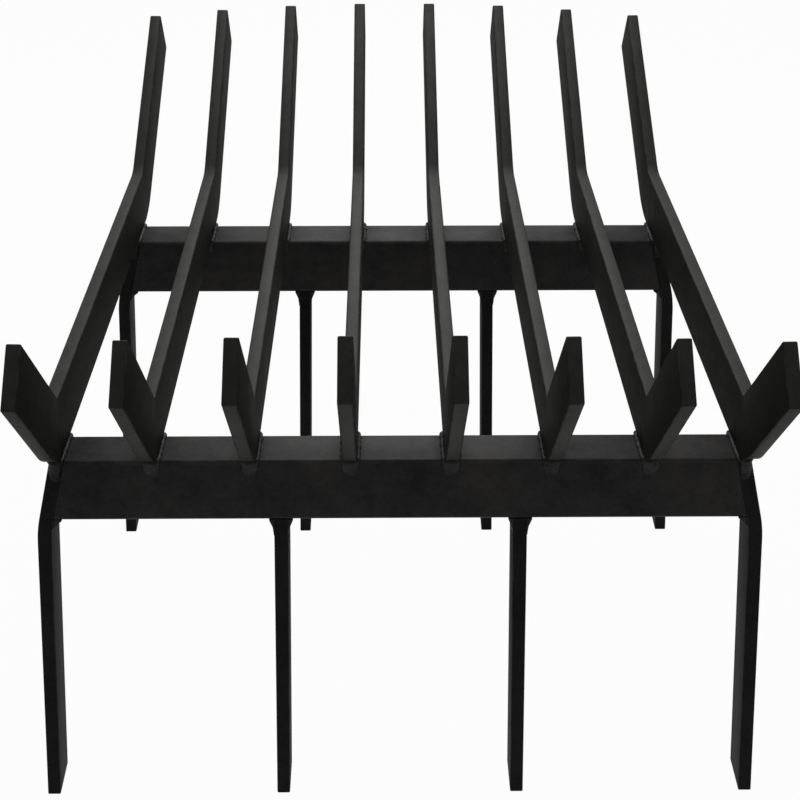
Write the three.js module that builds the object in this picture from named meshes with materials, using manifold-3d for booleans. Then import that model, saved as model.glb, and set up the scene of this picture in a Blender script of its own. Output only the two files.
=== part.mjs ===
// Welded steel log grate: eight bent flat bars on edge, carried by two cross rails on eight legs.
// Millimetres. +X runs along the rails, +Y from the front rail to the rear rail, +Z up.

import * as THREE from 'three';
import { mergeVertices } from 'three/addons/utils/BufferGeometryUtils.js';
import Module from 'manifold-3d';

const manifold = await Module();
manifold.setup();

// ---- driving dimensions -----------------------------------------------------------------------

const DEGREE = Math.PI / 180;

// Bars
const BAR_COUNT = 8;
const BAR_THICKNESS = 7;
const BAR_HEIGHT = 31.5;
const BAR_PITCH = 49.8; // between the two middle bars, on the front rail
const END_BAR_CLOSING = 3.8; // an end bar stands this much inside an even pitch
const REAR_NARROWING = 8.1; // an end bar is this much nearer the middle at the rear rail

// Bends and prongs of a bar, measured on its upper edge
const FRONT_BEND_SETBACK = 8; // behind the front rail's front face
const FRONT_PRONG_RISE = 46.5 * DEGREE;
const FRONT_PRONG_LENGTH = 92.5; // on a bar in the middle of the grate
const FRONT_END_SHORTENING = 9.8; // an end bar's front prong is this much shorter
const FRONT_BEND_RADIUS = 8;
const REAR_BEND_SETBACK = 36; // behind the rear rail's front face
const REAR_PRONG_RISE = 31 * DEGREE;
const REAR_PRONG_LENGTH = 139;
const REAR_END_SHORTENING = 10.4;
const REAR_BEND_RADIUS = 22;

// Rails
const RAIL_TOP = 214; // above the hearth
const RAIL_HEIGHT = 34.5;
const RAIL_DEPTH = 26;
const RAIL_SPACING = 259; // from front face to front face
const RAIL_EDGE_RADIUS = 1.6;

// Legs
const LEG_THICKNESS = 7;
const LEG_DEPTH = RAIL_DEPTH; // a leg's front and rear faces lie flush with its rail's
const OUTER_LEG_INSET = 1.2; // top of an outer leg, inside the end bar's middle
const OUTER_LEG_LEAN = 13.5 * DEGREE; // along the rail's end
const FRONT_LEG_SPLAY = 3.6 * DEGREE; // of an outer leg, below its bend
const REAR_LEG_SPLAY = 2.6 * DEGREE;
const OUTER_LEG_BEND_DROP = 6.5; // below the rail's underside
const OUTER_LEG_BEND_RADIUS = 80;
const INNER_LEG_X = 60; // middle of the leg, under the front rail
const INNER_LEG_SPLAY = 1.3 * DEGREE;

// Joints
const ROOT_GAP = 0.3; // left between two pieces before they are welded
const WELD_SIDE_GAP = 0.45; // between a bead and the upright faces of its rail
const BAR_WELD_RADIUS = 3;
const BAR_WELD_RUNOUT = 1.8; // past the rail's faces
const WELD_TOE_WIDTH = 4; // half width of the toe that runs down a rail's face
const WELD_TOE_DEPTH = 3;
const WELD_TOE_DROP = 9; // below the rail's top
const LEG_WELD_WIDTH = 2.4;
const LEG_WELD_DROP = 8.5;
const LEG_WELD_EDGE = 0.4; // thickness left at a bead's feathered edge
const END_WELD_WIDTH = 3.5;
const END_WELD_DROP = 6;

const EDGE_CHAMFER = 0.6;

// ---- smoothness -------------------------------------------------------------------------------

const BEND_STEPS = 7;
const RAIL_CORNER_STEPS = 3;
const WELD_STEPS = 4;
const WELD_SIDES = 10;

// ---- derived places ---------------------------------------------------------------------------

const RAIL_UNDERSIDE = RAIL_TOP - RAIL_HEIGHT;
const BAR_UNDERSIDE = RAIL_TOP + ROOT_GAP;
const BAR_TOP = BAR_UNDERSIDE + BAR_HEIGHT;
const END_STEP = (BAR_COUNT - 1) / 2;
const END_BAR_X = frontBarX(END_STEP);
const REAR_SHARE = 1 - REAR_NARROWING / END_BAR_X;
const REAR_BEND_Y = RAIL_SPACING + REAR_BEND_SETBACK;

const blackPaint = new THREE.MeshStandardMaterial({ color: 0x2b2a2a, roughness: 0.55, metalness: 0.3 });
const weldPaint = new THREE.MeshStandardMaterial({ color: 0x1f1e1f, roughness: 0.7, metalness: 0.3 });

/** X of a bar on the front rail; step counts from the middle of the grate. */
function frontBarX(step) {
  return step * BAR_PITCH - END_BAR_CLOSING * (step / END_STEP) ** 3;
}

/** Each rail's place, its width as a share of the front rail's, and the splay of its outer legs. */
const rails = [
  { name: 'front', y: 0, share: 1, splay: FRONT_LEG_SPLAY },
  { name: 'rear', y: RAIL_SPACING, share: REAR_SHARE, splay: REAR_LEG_SPLAY },
];

// ---- geometry helpers -------------------------------------------------------------------------

/** Points of an arc about centre, from one angle to another. */
function arc(centre, radius, from, to, steps) {
  const points = [];
  for (let i = 0; i <= steps; i += 1) {
    const angle = THREE.MathUtils.lerp(from, to, i / steps);
    points.push(new THREE.Vector2(centre.x + radius * Math.cos(angle), centre.y + radius * Math.sin(angle)));
  }
  return points;
}

/** Flat stock with chamfered edges: an outline given a thickness along its third axis. */
function cutFromStock(outline, thickness) {
  return new THREE.ExtrudeGeometry(new THREE.Shape(outline), {
    depth: thickness - 2 * EDGE_CHAMFER,
    bevelEnabled: true,
    bevelThickness: EDGE_CHAMFER,
    bevelSize: EDGE_CHAMFER,
    bevelOffset: -EDGE_CHAMFER,
    bevelSegments: 1,
    steps: 1,
  }).translate(0, 0, EDGE_CHAMFER);
}

/** Closed skin through rings of points that run counterclockwise as seen from the last ring. */
function loft(rings) {
  const count = rings[0].length;
  const positions = rings.flat().flatMap((point) => point.toArray());
  const index = [];
  for (let r = 0; r + 1 < rings.length; r += 1) {
    for (let i = 0; i < count; i += 1) {
      const a = r * count + i;
      const b = r * count + ((i + 1) % count);
      index.push(a, b, b + count, a, b + count, a + count);
    }
  }
  return { positions, index, count, ringCount: rings.length };
}

/** A loft with both ends closed by the triangles of its flat end outline. */
function loftSolid(rings, endOutline) {
  const skin = loft(rings);
  const lastRing = (skin.ringCount - 1) * skin.count;
  for (const [a, b, c] of THREE.ShapeUtils.triangulateShape(endOutline, [])) {
    skin.index.push(a, c, b, lastRing + a, lastRing + b, lastRing + c);
  }
  const geometry = new THREE.BufferGeometry();
  geometry.setAttribute('position', new THREE.Float32BufferAttribute(skin.positions, 3));
  geometry.setIndex(skin.index);
  return withFlatNormals(geometry);
}

/** Splits the corners of a geometry so that each face has its own normal. */
function withFlatNormals(geometry) {
  const faceted = geometry.toNonIndexed();
  faceted.computeVertexNormals();
  return faceted;
}

/** Solid of a closed geometry, for joining and cutting. */
function toSolid(geometry) {
  const bare = geometry.clone();
  bare.deleteAttribute('normal');
  bare.deleteAttribute('uv');
  const merged = mergeVertices(bare, 1e-4);
  return new manifold.Manifold(new manifold.Mesh({
    numProp: 3,
    vertProperties: new Float32Array(merged.attributes.position.array),
    triVerts: new Uint32Array(merged.index.array),
  }));
}

/** Geometry of a solid. */
function toGeometry(solid) {
  const mesh = solid.getMesh();
  const geometry = new THREE.BufferGeometry();
  geometry.setAttribute('position', new THREE.BufferAttribute(mesh.vertProperties, 3));
  geometry.setIndex(new THREE.BufferAttribute(mesh.triVerts, 1));
  return withFlatNormals(geometry);
}

function namedMesh(name, geometry, material) {
  const mesh = new THREE.Mesh(geometry, material);
  mesh.name = name;
  return mesh;
}

// ---- bars -------------------------------------------------------------------------------------

/** Where a prong's cut end starts and how it lies; side is -1 in front and +1 at the rear. */
function prong(side, cornerY, rise, length, radius) {
  const along = new THREE.Vector2(side * Math.cos(rise), Math.sin(rise));
  const down = new THREE.Vector2(side * Math.sin(rise), -Math.cos(rise));
  const tipTop = new THREE.Vector2(cornerY, BAR_TOP).addScaledVector(along, length);
  const tipBottom = tipTop.clone().addScaledVector(down, BAR_HEIGHT);
  const centre = new THREE.Vector2(cornerY - side * radius * Math.tan(rise / 2), BAR_TOP + radius);
  const level = -90 * DEGREE;
  const raised = level + side * rise;
  return { tipTop, tipBottom, centre, radius, level, raised };
}

/** Side view of a bent bar: Y to the right, Z up. */
function barOutline(step) {
  const endShare = (step / END_STEP) ** 2;
  const frontLength = FRONT_PRONG_LENGTH - FRONT_END_SHORTENING * endShare;
  const rearLength = REAR_PRONG_LENGTH - REAR_END_SHORTENING * endShare;
  const front = prong(-1, FRONT_BEND_SETBACK, FRONT_PRONG_RISE, frontLength, FRONT_BEND_RADIUS);
  const rear = prong(1, REAR_BEND_Y, REAR_PRONG_RISE, rearLength, REAR_BEND_RADIUS);
  return [
    front.tipBottom,
    ...arc(front.centre, front.radius + BAR_HEIGHT, front.raised, front.level, BEND_STEPS),
    ...arc(rear.centre, rear.radius + BAR_HEIGHT, rear.level, rear.raised, BEND_STEPS),
    rear.tipBottom,
    rear.tipTop,
    ...arc(rear.centre, rear.radius, rear.raised, rear.level, BEND_STEPS),
    ...arc(front.centre, front.radius, front.level, front.raised, BEND_STEPS),
    front.tipTop,
  ];
}

/** Turns a side view into a piece that runs along Y, with its middle on X 0. */
function alongBar(geometry, thickness) {
  return geometry.translate(0, 0, -thickness / 2).rotateX(90 * DEGREE).rotateZ(90 * DEGREE);
}

function barGeometry(step) {
  return alongBar(cutFromStock(barOutline(step), BAR_THICKNESS), BAR_THICKNESS);
}

// ---- bar welds --------------------------------------------------------------------------------

/** Beads along a bar's foot on a rail, on the given sides of the bar. */
function sideBeads(sides) {
  const beadX = BAR_THICKNESS / 2 + BAR_WELD_RADIUS / 4;
  const length = RAIL_DEPTH + 2 * (BAR_WELD_RUNOUT - BAR_WELD_RADIUS);
  return sides.map((side) => toSolid(
    new THREE.CapsuleGeometry(BAR_WELD_RADIUS, length, WELD_STEPS, WELD_SIDES)
      .translate(side * beadX, RAIL_DEPTH / 2, RAIL_TOP + BAR_WELD_RADIUS / 4),
  ));
}

/** Toes of the weld, which run down the rail's front and rear faces under the bar. */
function weldToes() {
  const middleDrop = WELD_TOE_DROP / 2 - BAR_WELD_RADIUS / 4;
  return [0, RAIL_DEPTH].map((y) => toSolid(
    new THREE.SphereGeometry(1, WELD_SIDES, WELD_STEPS * 2)
      .rotateX(90 * DEGREE)
      .scale(WELD_TOE_WIDTH, WELD_TOE_DEPTH, WELD_TOE_DROP - middleDrop)
      .translate(0, y, RAIL_TOP - middleDrop),
  ));
}

/** Room that the bar and the rail take out of a weld, with the gap that each one keeps. */
function barAndRailRoom(rail) {
  const barRoom = BAR_THICKNESS + 2 * ROOT_GAP;
  const outline = new THREE.Shape(barOutline(0));
  const bar = new THREE.ExtrudeGeometry(outline, { depth: barRoom, bevelEnabled: false });
  const railRoom = RAIL_DEPTH + 2 * WELD_SIDE_GAP;
  const block = new THREE.BoxGeometry(WELD_TOE_WIDTH * 4, railRoom, RAIL_HEIGHT)
    .translate(0, RAIL_DEPTH / 2, RAIL_TOP + ROOT_GAP - RAIL_HEIGHT / 2);
  return toSolid(alongBar(bar, barRoom).translate(0, -rail.y, -ROOT_GAP)).add(toSolid(block));
}

/** Sides of a bar that have rail beside them; an end bar has the rail on one side only. */
function weldedSides(step) {
  return [-1, 1].filter((side) => side * step < END_STEP);
}

/** Weld round a bar's foot on a rail, in the bar's own frame. */
function barWeldGeometry(step, rail) {
  const pieces = [...sideBeads(weldedSides(step)), ...weldToes()];
  return toGeometry(pieces.reduce((sum, piece) => sum.add(piece)).subtract(barAndRailRoom(rail)));
}

// ---- legs -------------------------------------------------------------------------------------

/** The point at height z on the line through point along direction. */
function atHeight(point, direction, z) {
  return point.clone().addScaledVector(direction, (z - point.y) / direction.y);
}

/** Lines and bend of an outer leg on the +X side, seen from the front. */
function outerLegPath({ share, splay }) {
  const lean = OUTER_LEG_LEAN;
  const bendZ = RAIL_UNDERSIDE - OUTER_LEG_BEND_DROP;
  const topX = END_BAR_X * share - OUTER_LEG_INSET;
  const corner = new THREE.Vector2(topX + (RAIL_TOP - bendZ) * Math.tan(lean), bendZ);
  const middle = (lean + splay) / 2;
  const reach = OUTER_LEG_BEND_RADIUS / Math.cos((lean - splay) / 2);
  const centre = new THREE.Vector2(corner.x - reach * Math.cos(middle), corner.y - reach * Math.sin(middle));
  return {
    centre,
    up: new THREE.Vector2(-Math.sin(lean), Math.cos(lean)),
    down: new THREE.Vector2(Math.sin(splay), -Math.cos(splay)),
  };
}

/** One face of an outer leg, from its foot to its top; offset counts outwards from the middle. */
function outerLegFace(rail, offset) {
  const { centre, up, down } = outerLegPath(rail);
  const radius = OUTER_LEG_BEND_RADIUS + offset;
  const bend = arc(centre, radius, rail.splay, OUTER_LEG_LEAN, BEND_STEPS);
  const foot = atHeight(bend[0], down, 0);
  const top = atHeight(bend[BEND_STEPS], up, RAIL_TOP);
  return [foot, ...bend, top];
}

/** X of an outer leg's inner face at a height beside the rail or in the bend. */
function outerLegInnerX(rail, z) {
  const face = outerLegFace(rail, -LEG_THICKNESS / 2);
  const above = face.findIndex((point) => point.y >= z);
  const below = face[above - 1];
  const rise = (z - below.y) / (face[above].y - below.y);
  return THREE.MathUtils.lerp(below.x, face[above].x, rise);
}

function outerLegOutline(rail) {
  const outer = outerLegFace(rail, LEG_THICKNESS / 2);
  const inner = outerLegFace(rail, -LEG_THICKNESS / 2);
  return [...outer, ...inner.reverse()];
}

/** Middle of an inner leg at height z, on the +X side. */
function innerLegX(rail, z) {
  return INNER_LEG_X * rail.share + (RAIL_UNDERSIDE - z) * Math.tan(INNER_LEG_SPLAY);
}

function innerLegOutline(rail) {
  const top = RAIL_UNDERSIDE - ROOT_GAP;
  const half = LEG_THICKNESS / 2 / Math.cos(INNER_LEG_SPLAY);
  return [
    new THREE.Vector2(innerLegX(rail, 0) - half, 0),
    new THREE.Vector2(innerLegX(rail, 0) + half, 0),
    new THREE.Vector2(innerLegX(rail, top) + half, top),
    new THREE.Vector2(innerLegX(rail, top) - half, top),
  ];
}

/** The same outline on the other side of the grate, still counterclockwise. */
function mirrored(outline) {
  return outline.map((point) => new THREE.Vector2(-point.x, point.y)).reverse();
}

/** A leg or bead from its front view; its front face lies at y 0. */
function standUp(geometry, depth) {
  return geometry.rotateX(90 * DEGREE).translate(0, depth, 0);
}

function legGeometry(outline) {
  return standUp(cutFromStock(outline, LEG_DEPTH), LEG_DEPTH);
}

// ---- leg welds --------------------------------------------------------------------------------

/** How far a bead that flares up to the rail stands out, from 0 at its foot to 1 under the rail. */
function flare(height) {
  return height ** 2;
}

/** U-shaped outline round an inner leg, open at the rail's front face. */
function collarRing(rail, side, z, width) {
  const middle = side * innerLegX(rail, z);
  const inside = LEG_THICKNESS / 2 / Math.cos(INNER_LEG_SPLAY) + ROOT_GAP;
  const outside = inside + width;
  const back = LEG_DEPTH + ROOT_GAP;
  const front = EDGE_CHAMFER;
  return [
    [-outside, front], [-inside, front], [-inside, back], [inside, back],
    [inside, front], [outside, front], [outside, back + width], [-outside, back + width],
  ].map(([x, y]) => new THREE.Vector3(middle + x, y, z));
}

/** Flared weld that joins an inner leg to the underside of its rail. */
function innerLegWeldGeometry(rail, side) {
  const top = RAIL_UNDERSIDE - ROOT_GAP;
  const rings = [];
  for (let i = 0; i <= WELD_STEPS; i += 1) {
    const height = i / WELD_STEPS;
    const width = THREE.MathUtils.lerp(LEG_WELD_EDGE, LEG_WELD_WIDTH, flare(height));
    rings.push(collarRing(rail, side, top - LEG_WELD_DROP * (1 - height), width));
  }
  const outline = rings[0].map((point) => new THREE.Vector2(point.x, point.y));
  return loftSolid(rings, outline);
}

/** Front view of the bead in the corner between an outer leg and the underside of its rail. */
function outerLegWeldOutline(rail) {
  const top = RAIL_UNDERSIDE - ROOT_GAP;
  const bottom = top - END_WELD_DROP;
  const legX = (z) => outerLegInnerX(rail, z) - ROOT_GAP;
  const hollow = [];
  for (let i = 0; i <= WELD_STEPS; i += 1) {
    const height = i / WELD_STEPS;
    const z = THREE.MathUtils.lerp(top, bottom, height);
    hollow.push(new THREE.Vector2(legX(z) - LEG_WELD_EDGE - END_WELD_WIDTH * flare(1 - height), z));
  }
  return [...hollow, new THREE.Vector2(legX(bottom), bottom), new THREE.Vector2(legX(top), top)];
}

function outerLegWeldGeometry(outline) {
  const length = RAIL_DEPTH - 2 * EDGE_CHAMFER;
  const bead = new THREE.ExtrudeGeometry(new THREE.Shape(outline), { depth: length, bevelEnabled: false });
  return standUp(bead, length + EDGE_CHAMFER);
}

// ---- rails ------------------------------------------------------------------------------------

/** Section of a rail: Y to the right, Z up, with rounded edges. */
function railSection() {
  const radius = RAIL_EDGE_RADIUS;
  const corners = [
    { y: RAIL_DEPTH - radius, z: RAIL_UNDERSIDE + radius, start: -90 },
    { y: RAIL_DEPTH - radius, z: RAIL_TOP - radius, start: 0 },
    { y: radius, z: RAIL_TOP - radius, start: 90 },
    { y: radius, z: RAIL_UNDERSIDE + radius, start: 180 },
  ];
  return corners.flatMap(({ y, z, start }) => {
    const from = start * DEGREE;
    return arc(new THREE.Vector2(y, z), radius, from, from + 90 * DEGREE, RAIL_CORNER_STEPS);
  });
}

/** A rail whose ends are cut to lie along its two outer legs. */
function railGeometry(rail) {
  const section = railSection();
  const bottom = new THREE.Vector2(outerLegInnerX(rail, RAIL_UNDERSIDE), RAIL_UNDERSIDE);
  const top = new THREE.Vector2(outerLegInnerX(rail, RAIL_TOP), RAIL_TOP);
  const endX = (z) => THREE.MathUtils.mapLinear(z, bottom.y, top.y, bottom.x, top.x) - ROOT_GAP;
  const rings = [-1, 1].map((side) => (
    section.map((point) => new THREE.Vector3(side * endX(point.y), point.x, point.y))
  ));
  return loftSolid(rings, section);
}

// ---- assembly ---------------------------------------------------------------------------------

/** A bar, turned so that it runs from its place on the front rail to its place on the rear one. */
function barGroup(number) {
  const step = number - 1 - END_STEP;
  const x = frontBarX(step);
  const group = new THREE.Group();
  group.position.x = x;
  group.rotation.z = Math.atan2(x * (1 - REAR_SHARE), RAIL_SPACING);
  group.add(namedMesh(`grate_bar_${number}`, barGeometry(step), blackPaint));
  return group;
}

/** The weld between a bar and a rail, turned with its bar. */
function barWeldMesh(number, rail) {
  const step = number - 1 - END_STEP;
  const x = frontBarX(step);
  const weld = namedMesh(`weld_bar_${number}_${rail.name}`, barWeldGeometry(step, rail), weldPaint);
  weld.position.set(x * rail.share, rail.y, 0);
  weld.rotation.z = Math.atan2(x * (1 - REAR_SHARE), RAIL_SPACING);
  return weld;
}

/** A rail with its four legs and their welds. */
function railGroup(rail) {
  const { name } = rail;
  const group = new THREE.Group();
  group.position.y = rail.y;
  group.add(namedMesh(`${name}_rail`, railGeometry(rail), blackPaint));
  const sides = [
    { side: -1, label: 'left', place: mirrored },
    { side: 1, label: 'right', place: (outline) => outline },
  ];
  for (const { side, label, place } of sides) {
    const outerLeg = legGeometry(place(outerLegOutline(rail)));
    const innerLeg = legGeometry(place(innerLegOutline(rail)));
    const outerWeld = outerLegWeldGeometry(place(outerLegWeldOutline(rail)));
    const innerWeld = innerLegWeldGeometry(rail, side);
    group.add(namedMesh(`${name}_leg_outer_${label}`, outerLeg, blackPaint));
    group.add(namedMesh(`${name}_leg_inner_${label}`, innerLeg, blackPaint));
    group.add(namedMesh(`weld_leg_outer_${name}_${label}`, outerWeld, weldPaint));
    group.add(namedMesh(`weld_leg_inner_${name}_${label}`, innerWeld, weldPaint));
  }
  return group;
}

function logGrate() {
  const grate = new THREE.Group();
  for (const rail of rails) {
    grate.add(railGroup(rail));
  }
  for (let number = 1; number <= BAR_COUNT; number += 1) {
    grate.add(barGroup(number));
    for (const rail of rails) {
      grate.add(barWeldMesh(number, rail));
    }
  }
  return grate;
}

/** Puts the middle of the grate's footprint over the origin, with its feet on z 0. */
function overOrigin(grate) {
  const middle = new THREE.Box3().setFromObject(grate).getCenter(new THREE.Vector3());
  grate.position.set(-middle.x, -middle.y, 0);
  grate.updateMatrixWorld(true);
  const part = new THREE.Group();
  part.add(grate);
  return part;
}

export default overOrigin(logGrate());
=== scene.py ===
"""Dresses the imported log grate: bent bars, rails, legs and welds under black high-heat paint.

Metres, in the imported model's own frame: +X along the rails, +Y from the front rail to the rear
one, +Z up. Every piece is modelled in its CAD node's place and stands for that node.
"""

import logging
import math
import random
from dataclasses import dataclass
from enum import Enum
from functools import reduce
from math import radians
from typing import Callable, Iterable, Sequence

import bmesh
import bpy
from mathutils import Matrix, Vector


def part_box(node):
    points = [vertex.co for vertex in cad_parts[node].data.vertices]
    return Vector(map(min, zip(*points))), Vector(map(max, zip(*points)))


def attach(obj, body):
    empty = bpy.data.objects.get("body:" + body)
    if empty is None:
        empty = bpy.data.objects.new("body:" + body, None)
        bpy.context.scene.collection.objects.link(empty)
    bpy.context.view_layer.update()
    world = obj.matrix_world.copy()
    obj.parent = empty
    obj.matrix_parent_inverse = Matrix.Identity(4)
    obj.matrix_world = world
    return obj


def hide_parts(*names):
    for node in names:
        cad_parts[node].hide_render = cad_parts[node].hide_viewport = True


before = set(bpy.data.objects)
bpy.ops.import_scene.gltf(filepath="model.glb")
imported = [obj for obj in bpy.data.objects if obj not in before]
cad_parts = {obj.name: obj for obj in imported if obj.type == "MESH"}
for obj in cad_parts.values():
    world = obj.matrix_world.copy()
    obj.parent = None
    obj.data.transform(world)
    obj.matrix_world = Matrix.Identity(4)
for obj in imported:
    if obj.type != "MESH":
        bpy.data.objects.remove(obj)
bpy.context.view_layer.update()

log = logging.getLogger("log_grate")

BODY = "root"
LEFT, RIGHT = -1, 1
FRONT, REAR = -1, 1
# Attributes: middles of rounded edges, for worn paint and a painted edge highlight; narrow faces;
# painted shade on welds.
EDGE_MARK_ATTRIBUTE = "edge_wear"
NARROW_ATTRIBUTE = "narrow_face"
WELD_SHADE_ATTRIBUTE = "weld_seam"

UP = Vector((0, 0, 1))
WHITE = (1, 1, 1, 1)
SHARP_ANGLE = radians(40)
SOFT_ANGLE = radians(38)
FACING_COSINE = 0.999
DOUBLES_DISTANCE = 1e-6
# Painted shade on welds: how far it reaches from their edges, a setting that lays none towards
# their lower ends, and the darkest share it takes there.
WELD_SHADE_REACH = 0.0009
NO_LOW_SHADE = (0.0, 1.0)
DARKEST_LOW_SHADE = 0.85
# A Mix node's colour sockets, which share their names with its other sockets.
COLOUR_MIX_INPUTS = (0, 6, 7)
COLOUR_MIX_OUTPUT = 2

Piece = bpy.types.Object
Box = tuple[Vector, Vector]
Point = Colour = tuple[float, float, float]
Socket = bpy.types.NodeSocket
Sockets = bpy.types.bpy_prop_collection
Maker = Callable[["Wiring", Sockets], dict[str, Socket]]


# ---- modelling by hand ----


class Element(Enum):
    """What a selection in edit mode picks."""

    VERTEX = "VERT"
    FACE = "FACE"


class Modelling:
    """Edit mode on one piece, for the length of a with block."""

    def __init__(self, piece: Piece) -> None:
        """Keeps the piece that is worked on."""
        self.piece = piece

    def __enter__(self) -> "Modelling":
        """Selects the piece alone and enters edit mode.

        Returns:
            This object, for the with block.
        """
        pick(self.piece)
        bpy.ops.object.mode_set(mode="EDIT")
        return self

    def __exit__(self, *_: object) -> None:
        """Goes back to object mode."""
        bpy.ops.object.mode_set(mode="OBJECT")

    def select(self, element: Element, test: Callable[[Vector, Vector], bool]) -> None:
        """Selects what passes a test, and nothing else.

        Args:
            element: Whether vertices or faces are picked.
            test: Takes the place and the normal of a vertex or a face.
        """
        bpy.ops.mesh.select_mode(type=element.value)
        bpy.ops.mesh.select_all(action="DESELECT")
        mesh = bmesh.from_edit_mesh(self.piece.data)
        mesh.normal_update()
        if element is Element.VERTEX:
            for vert in mesh.verts:
                vert.select_set(test(vert.co, vert.normal))
        else:
            for face in mesh.faces:
                face.select_set(test(face.calc_center_median(), face.normal))
        mesh.select_flush_mode()
        bmesh.update_edit_mesh(self.piece.data)

    def select_facing(self, direction: Vector) -> None:
        """Selects the faces that look along a direction."""
        self.select(Element.FACE, lambda _, normal: normal.dot(direction) > FACING_COSINE)

    def pull(self, by: Vector) -> None:
        """Extrudes the selected faces by a vector."""
        bpy.ops.mesh.extrude_region_move(TRANSFORM_OT_translate={"value": by})

    def bend(self, angle: float, centre: Vector, axis: Vector, steps: int) -> None:
        """Carries the selected faces round an arc, by the right-hand rule about the axis."""
        bpy.ops.mesh.spin(steps=steps, angle=-angle, center=centre, axis=axis)

    def cut(self, place: Vector, outwards: Vector) -> None:
        """Saws the piece off flat where a plane crosses it, and drops what lies outwards."""
        bpy.ops.mesh.select_all(action="SELECT")
        bpy.ops.mesh.bisect(plane_co=place, plane_no=outwards, use_fill=True, clear_outer=True)

    def tidy(self) -> None:
        """Merges doubled points and turns every face outwards."""
        bpy.ops.mesh.select_all(action="SELECT")
        bpy.ops.mesh.remove_doubles(threshold=DOUBLES_DISTANCE)
        bpy.ops.mesh.normals_make_consistent()


def pick(piece: Piece) -> None:
    """Makes a piece the only one selected, and the active one.

    Args:
        piece: The piece.
    """
    bpy.ops.object.select_all(action="DESELECT")
    piece.select_set(True)
    bpy.context.view_layer.objects.active = piece


def settle(piece: Piece) -> None:
    """Moves a piece's place, turn and size into its mesh."""
    pick(piece)
    bpy.ops.object.transform_apply()


def block(name: str, low: Sequence[float], high: Sequence[float]) -> Piece:
    """Starts a piece as a block of stock.

    Args:
        name: The piece's name.
        low: The block's lowest corner.
        high: The block's highest corner.

    Returns:
        The block, with its place in its mesh.
    """
    low, high = Vector(low), Vector(high)
    bpy.ops.mesh.primitive_cube_add(size=1, location=(low + high) / 2)
    piece = bpy.context.object
    piece.name = piece.data.name = name
    piece.scale = high - low
    settle(piece)
    return piece


def copy_of(piece: Piece, name: str, mirror: bool = False) -> Piece:
    """Copies a piece, with a mesh of its own.

    Args:
        piece: The piece that is copied.
        name: The copy's name.
        mirror: Whether the copy stands on the other side of the grate.

    Returns:
        The copy, facing outwards.
    """
    pick(piece)
    bpy.ops.object.duplicate()
    twin = bpy.context.object
    twin.name = twin.data.name = name
    if mirror:
        twin.scale = (-1, 1, 1)
        settle(twin)
        with Modelling(twin) as model:
            model.tidy()
    return twin


def remove(pieces: Iterable[Piece]) -> None:
    """Takes pieces out of the scene.

    Args:
        pieces: Patterns that have been copied.
    """
    for piece in pieces:
        mesh = piece.data
        bpy.data.objects.remove(piece)
        bpy.data.meshes.remove(mesh)


def apply_modifier(piece: Piece, kind: str, **settings: object) -> None:
    """Adds one modifier with its settings, and applies it.

    Args:
        piece: The piece that is changed.
        kind: The modifier's type.
        **settings: The modifier's own properties.
    """
    modifier = piece.modifiers.new(kind.title(), kind)
    for name, value in settings.items():
        setattr(modifier, name, value)
    pick(piece)
    bpy.ops.object.modifier_apply(modifier=modifier.name)


def round_edges(piece: Piece, radius: float, segments: int = 3) -> None:
    """Rounds a piece's sharp edges, and marks the middle of each for worn paint with a painted edge
    highlight.

    Args:
        piece: A closed piece without materials.
        radius: The width that each rounding takes from a face.
        segments: Rows of faces round an edge.
    """
    mesh = piece.data
    mesh.materials.append(None)
    mesh.materials.append(None)
    apply_modifier(
        piece, "BEVEL", width=radius, segments=segments, limit_method="ANGLE",
        angle_limit=SHARP_ANGLE, material=1,
    )
    flat_corners = {i for face in mesh.polygons if not face.material_index for i in face.vertices}
    edge_mark = mesh.attributes.new(EDGE_MARK_ATTRIBUTE, "FLOAT", "POINT")
    for vert in mesh.vertices:
        edge_mark.data[vert.index].value = 0.0 if vert.index in flat_corners else 1.0
    for face in mesh.polygons:
        face.material_index = 0
    mesh.materials.clear()


def mark_narrow_faces(piece: Piece) -> None:
    """Marks how far each face of a flat bar on edge belongs to its narrow sides and cut ends.

    Args:
        piece: The bar, still along Y.
    """
    narrow = piece.data.attributes.new(NARROW_ATTRIBUTE, "FLOAT", "FACE")
    for face in piece.data.polygons:
        narrow.data[face.index].value = 1 - abs(face.normal.x)


def paint_weld_shade(
    weld: Piece, hosts: Sequence[Box], low_shade: tuple[float, float] = NO_LOW_SHADE
) -> None:
    """Marks painted shade where a weld's skin runs out on the parts that it joins, and towards its
    lower end.

    Args:
        weld: The weld.
        hosts: Lowest and highest corner of each part.
        low_shade: Height where the painted shade towards the lower end starts, and how much lower
            it would be complete.
    """
    weld_shade = weld.data.attributes.new(WELD_SHADE_ATTRIBUTE, "FLOAT", "POINT")
    start, fall = low_shade
    for vert in weld.data.vertices:
        gap = min(distance_outside(vert.co, low, high) for low, high in hosts)
        low_shading = min((start - vert.co.z) / fall, DARKEST_LOW_SHADE)
        # The darker of the painted shade at the weld's edges and the painted shade towards its
        # lower end.
        weld_shade.data[vert.index].value = max(0.0, 1 - gap / WELD_SHADE_REACH, low_shading)


def distance_outside(place: Vector, low: Vector, high: Vector) -> float:
    """Distance of a place from a box, and 0 inside it."""
    return Vector([max(a - p, 0.0, p - b) for p, a, b in zip(place, low, high)]).length


# ---- places ----


@dataclass(frozen=True)
class RailPlace:
    """Where a rail stands, and how its width and the splay of its outer legs differ."""

    name: str
    face_y: float
    share: float
    splay: float


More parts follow.
